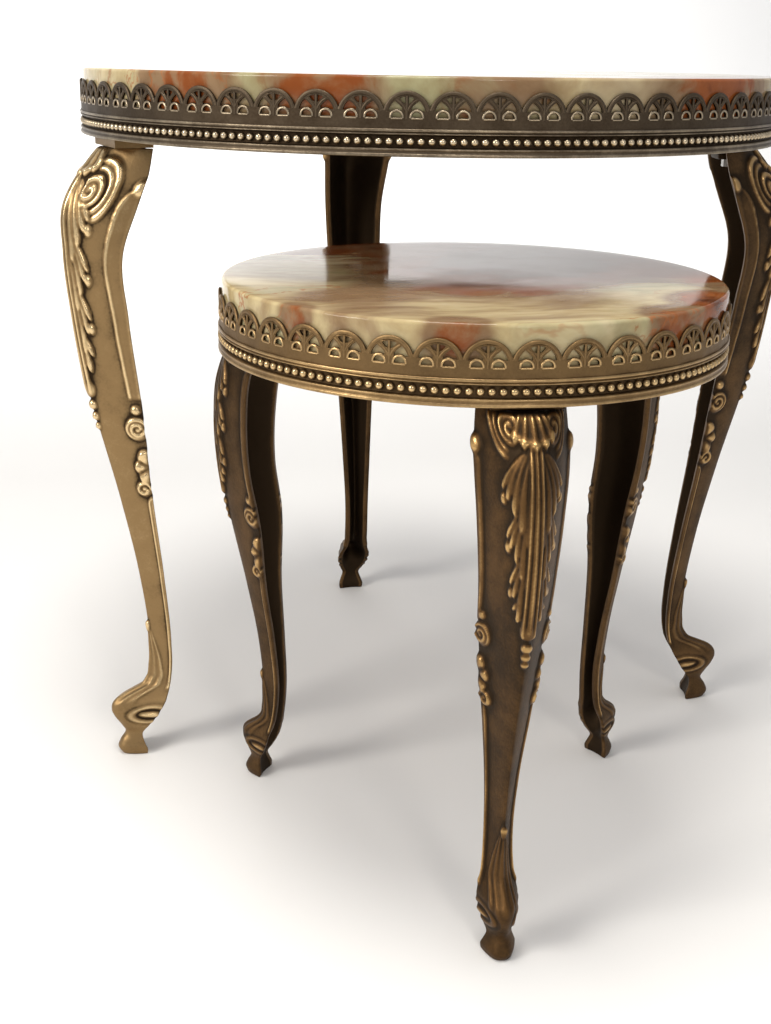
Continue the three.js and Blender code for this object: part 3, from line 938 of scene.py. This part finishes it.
def leg_arrays(table):
    """Points, faces and relief of one leg, standing in the plane y = 0 with +X pointing out of the table."""
    rows = int(table.leg_top * ROWS_PER_MM)
    shares = np.linspace(-1, 1, OUTER_COLUMNS)
    shares = np.sign(shares) * np.abs(shares) ** 0.95
    heights, values = smooth_path(LEG_SHAPE[table.name], rows)
    front, back, half, hollow, nose = (values[:, i][:, None] for i in range(5))

    def section(across, depth, width):
        """Rows of points round a V whose arms end on the back edges."""
        return np.stack(
            [
                back + depth * (1 - np.abs(across) ** nose),
                width * across,
                np.repeat(heights[:, None], across.shape[1], axis=1),
            ],
            axis=-1,
        )

    outer = section(shares[None, :], front - back, half)
    z = outer[:, :, 2]
    lengths = np.linalg.norm(np.diff(outer, axis=1), axis=-1)
    travelled = np.concatenate([np.zeros((rows, 1)), np.cumsum(lengths, axis=1)], axis=1)
    middle = travelled[:, [len(shares) // 2]]
    side = np.abs(travelled - middle)
    relief = leg_relief(z, side, middle - side, LEG_PLAN[table.name])

    normal = np.cross(np.gradient(outer, axis=1), np.gradient(outer, axis=0))
    normal /= np.linalg.norm(normal, axis=-1, keepdims=True)
    spine = np.stack([np.broadcast_to(back, z.shape), np.zeros_like(z), z], axis=-1)
    normal *= np.sign(np.sum(normal * (outer - spine), axis=-1, keepdims=True) + 1e-9)
    carved = outer + normal * relief[..., None]
    carved[:, :, 2] = np.clip(carved[:, :, 2], 0, table.leg_top)
    carved[0, :, 2] = 0
    carved[-1, :, 2] = table.leg_top
    cavity = relief - soften(soften(relief, 5), 5)
    groove = relief - soften(relief, 2)
    # Hollows go dark and bumps go bright; the relief term also brightens all raised ornament, a painted
    # highlight on the leaf's ridges on top of rubbed metal.
    wear_and_highlight = np.clip(cavity * 0.5 + groove * 0.8 + relief * 0.08, -1.0, 0.85)

    depth = hollow * (front - back - 1.25 * CAST_WALL)
    inner = section(np.linspace(1, -1, INNER_COLUMNS)[None, :], depth, half - CAST_WALL)
    points = np.concatenate([carved, inner], axis=1)
    wear_and_highlight = np.concatenate([wear_and_highlight, np.full(inner.shape[:2], HOLLOW_RELIEF)], axis=1)
    wear_and_highlight[:, [len(shares), -1]] = HOLLOW_RIM_RELIEF
    return points.reshape(-1, 3), capped_faces(rows, points.shape[1]), wear_and_highlight.reshape(-1)


def leg_piece(table, leg, arrays, material):
    """One leg turned to its place, with the solid pad that its bolt passes through."""
    points, faces, relief = arrays
    pad_points, pad_faces = pad_arrays(table)
    faces = list(faces) + [tuple(i + len(points) for i in face) for face in pad_faces]
    points = np.vstack([points, pad_points])
    relief = np.concatenate([relief, np.full(len(pad_points), PAD_RELIEF)])
    turn = table.legs[leg]
    cosine, sine = math.cos(turn), math.sin(turn)
    placed = np.stack(
        [
            table.centre[0] + points[:, 0] * cosine - points[:, 1] * sine,
            table.centre[1] + points[:, 0] * sine + points[:, 1] * cosine,
            points[:, 2],
        ],
        axis=-1,
    )
    return mesh_object(table.node(f"{leg}_cast_leg"), placed, faces, material, relief)


def pad_arrays(table):
    """The pad inside the leg's top: a block with rounded corners."""
    outer = table.radius - 9
    inner = 2 * table.bolt - outer
    outline = rounded([(inner, -12), (outer, -12), (outer, 12), (inner, 12)], 3, 4)
    top = table.leg_top
    levels = [(top - 9, 0.94), (top - 8.2, 1.0), (top - 0.4, 1.0)]
    middle = np.array([(inner + outer) / 2, 0])
    points = [
        (*(middle + (corner - middle) * scale), height) for height, scale in levels for corner in outline
    ]
    return np.array(points), capped_faces(len(levels), len(outline))


# ---- Build ----

casting = cast_grain_group()
layered_stone = onyx_group()
# Each metal: name, wear (how far it leans to its bright colour, partly a painted highlight), grain, then its
# bright, middle and sometimes dark colours.
METALS = {
    "large_hoop": ("hoop_brass_dark", 0.26, 0.7, (0.6, 0.49, 0.34, 1), (0.095, 0.07, 0.046, 1)),
    "small_hoop": (
        "hoop_brass", 0.34, 0.7, (0.62, 0.42, 0.2, 1), (0.19, 0.118, 0.052, 1), (0.07, 0.043, 0.021, 1),
    ),
    "large_bead": ("bead_brass_dark", 0.3, 0.3, (0.66, 0.54, 0.37, 1), (0.2, 0.145, 0.085, 1)),
    "small_bead": ("bead_brass", 0.28, 0.3, (0.66, 0.47, 0.24, 1), (0.2, 0.13, 0.06, 1)),
    # The large front-left leg and its plate are a lit copy of the leg brass: the brighter middle colour and
    # higher wear are painted light, not a different metal.
    "large_front_left": ("leg_brass_bright", 0.5, 1.0, (0.74, 0.55, 0.3, 1), (0.27, 0.175, 0.08, 1)),
    "small_front": ("leg_brass_warm", 0.22, 1.0, (0.62, 0.39, 0.155, 1), (0.125, 0.066, 0.025, 1)),
    "other": ("leg_brass_brown", 0.28, 1.0, (0.55, 0.35, 0.15, 1), (0.13, 0.073, 0.031, 1)),
    "zinc": ("zinc", 0.6, 0.6, (0.62, 0.61, 0.58, 1), (0.4, 0.39, 0.37, 1), (0.15, 0.14, 0.12, 1)),
}
metals = {}
for use, (title, wear_and_highlight, grain, *colours) in METALS.items():
    metals[use] = brass(title, casting, wear_and_highlight, grain, *colours)
wood = plywood()

# Clouds in each slab: x, y, reach, amount and label. The broad dark clouds darken the middle and back of
# each top, and the pale ones lighten it near the front edge and, on the large top, the left edge.
PATCHES = {
    "large": [(-205, -160, 60, 0.55, "Darken"), (-120, -215, 75, 0.45, "Darken"), (-30, -240, 60, 0.32, "Darken"),
              (45, -245, 45, 0.5, "Pale"), (130, -205, 80, 0.5, "Darken"), (215, -110, 70, 0.4, "Darken"),
              (-245, -70, 60, 0.3, "Pale"), (40, 60, 150, 0.25, "Darken"), (-90, 120, 90, 0.35, "Darken")],
    "small": [(-54, -148, 26, 0.42, "Darken"), (-129, -88, 18, 0.45, "Darken"), (15, -155, 45, 0.3, "Pale"),
              (74, -140, 34, 0.5, "Darken"), (118, -104, 44, 0.7, "Darken"), (150, -30, 60, 0.5, "Darken"),
              (84, 84, 150, 0.8, "Darken"), (10, 0, 120, 0.5, "Darken"), (-60, 130, 80, 0.4, "Darken"),
              (-90, -60, 50, 0.25, "Darken")],
}


def build(table):
    """One table's visible pieces, each riding on the table's body in place of its CAD node."""
    stone = stone_slab(table, onyx(f"{table.name}_onyx", layered_stone, table, PATCHES[table.name]))
    rim = rim_hoop(table, metals[table.node("hoop")])
    beads = bead_row(table, metals[table.node("bead")])
    strip = gallery_strip(table, metals[table.node("hoop")])
    made = [(stone, "stone_top", "stone"), (rim, "beaded_rim", "brass"), (beads, "beaded_rim", "brass"),
            (strip, "gallery", "brass")]
    arrays = leg_arrays(table)
    for leg in table.legs:
        metal = metals.get(table.node(leg), metals["other"])
        made.append((leg_piece(table, leg, arrays, metal), f"{leg}_leg", "brass"))
    for piece, node, slot in made:
        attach(piece, table.body)
        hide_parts(table.node(node))


for table in (Table("large"), Table("small")):
    build(table)

for name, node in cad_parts.items():
    # Each plate takes its leg's metal, so the large front-left plate carries that leg's painted light too.
    leg = metals.get(name.removesuffix("_leg_plate"), metals["other"])
    finish = wood if "board" in name else leg if name.endswith("_plate") else metals["zinc"]
    if any(word in name for word in ("board", "_plate", "_bolt")):
        node.data.materials.clear()
        node.data.materials.append(finish)

# ---- Floor, light and camera ----


def floor():
    """A pale floor that sweeps up into a backdrop, in metres."""
    bend, sweep = 3.0, 2.0
    turns = np.linspace(0.1, math.pi / 2, 12)
    profile = [(-8, 0), (bend, 0)]
    profile += [(bend + sweep * math.sin(t), sweep - sweep * math.cos(t)) for t in turns]
    profile.append((bend + sweep, 9.0))
    points = [(x, y, z - 0.0005) for y, z in profile for x in (-14, 14)]
    faces = [(i, i + 1, i + 3, i + 2) for i in range(0, 2 * len(profile) - 2, 2)]
    mesh = bpy.data.meshes.new("floor")
    mesh.from_pydata(points, [], faces)
    mesh.shade_smooth()
    material, tree, surface = new_material("pale_floor")
    surface.inputs["Base Color"].default_value = (0.86, 0.85, 0.83, 1)
    surface.inputs["Roughness"].default_value = 0.9
    mesh.materials.append(material)
    ground = bpy.data.objects.new("floor", mesh)
    bpy.context.scene.collection.objects.link(ground)


def area_light(name, place, target, size, power, color=(1, 1, 1)):
    """A soft round lamp at place, turned to face target."""
    lamp = bpy.data.lights.new(name, "AREA")
    lamp.shape = "DISK"
    lamp.size = size
    lamp.energy = power
    lamp.color = color
    thing = bpy.data.objects.new(name, lamp)
    thing.location = place
    thing.rotation_euler = (Vector(target) - Vector(place)).to_track_quat("-Z", "Y").to_euler()
    bpy.context.scene.collection.objects.link(thing)


def camera():
    """The camera, placed across the floor by the middle of the large top."""
    yaw, pitch, roll = math.radians(13.4), math.radians(18.2), math.radians(0.9)
    level = math.cos(pitch)
    forward = Vector((math.sin(yaw) * level, math.cos(yaw) * level, -math.sin(pitch)))
    right = Vector((math.cos(yaw), -math.sin(yaw), 0))
    up = right.cross(forward)
    across = right * math.cos(roll) + up * math.sin(roll)
    above = up * math.cos(roll) - right * math.sin(roll)
    eye = bpy.data.cameras.new("camera")
    eye.lens = 46.49
    eye.sensor_width = 36
    eye.shift_x = 0.0176
    eye.shift_y = -0.0229
    eye.clip_start = 0.01
    thing = bpy.data.objects.new("camera", eye)
    large = np.array(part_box("large_stone_top")).mean(axis=0)
    turn = Matrix((across, above, -forward)).transposed().to_4x4()
    thing.matrix_world = Matrix.Translation((large[0] - 0.2729, large[1] - 0.9789, 0.5141)) @ turn
    bpy.context.scene.collection.objects.link(thing)
    bpy.context.scene.camera = thing


floor()
world = bpy.data.worlds.new("studio")
world.use_nodes = True
world.node_tree.nodes["Background"].inputs["Color"].default_value = (0.95, 0.96, 1.0, 1)
world.node_tree.nodes["Background"].inputs["Strength"].default_value = 0.5
bpy.context.scene.world = world
area_light("overhead", (-0.2, -0.3, 2.1), (0, -0.1, 0.4), 0.8, 26, (1, 0.97, 0.92))
area_light("window", (-2.0, -0.7, 1.3), (-0.1, 0, 0.3), 0.8, 27, (1, 0.96, 0.9))
area_light("front", (0.2, -2.4, 1.3), (0, -0.1, 0.25), 0.5, 9, (1, 0.95, 0.88))
area_light("backdrop", (0, 2.2, 2.6), (0, 5, 1.0), 2.5, 130)
camera()
bpy.context.scene.view_settings.view_transform = "Standard"

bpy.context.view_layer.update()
